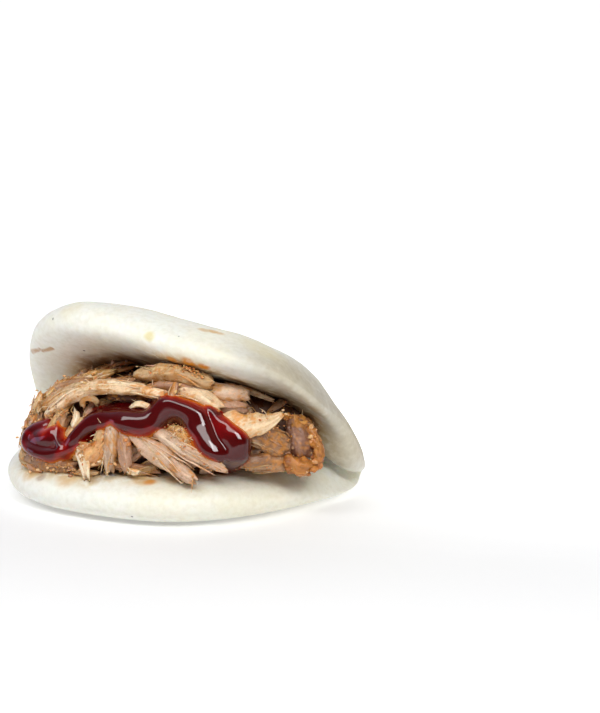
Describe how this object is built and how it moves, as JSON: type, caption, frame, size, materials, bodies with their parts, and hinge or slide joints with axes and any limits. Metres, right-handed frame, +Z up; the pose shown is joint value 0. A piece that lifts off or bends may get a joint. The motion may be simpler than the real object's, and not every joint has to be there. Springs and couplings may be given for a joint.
{
  "type": "pulled pork bao",
  "caption": "Steamed bun folded over at the back round a heap of shredded pork, with a thick glossy drizzle of sauce across the open front.",
  "frame": {"origin": "the middle of the object's box in plan, on the surface it rests on", "axes": "+Z up, +X along the fold towards its closed end, the open mouth faces -Y"},
  "size_m": [0.1104, 0.0724, 0.0597],
  "materials": {
    "steamed_dough": "smooth satin skin of steamed dough, off-white",
    "pork_and_sauce": "fibrous cooked meat, moist, with a glossy dark red-brown sauce over it"
  },
  "bodies": {
    "root": {"bun": "steamed_dough", "pulled_pork": "pork_and_sauce"}
  },
  "joints": []
}
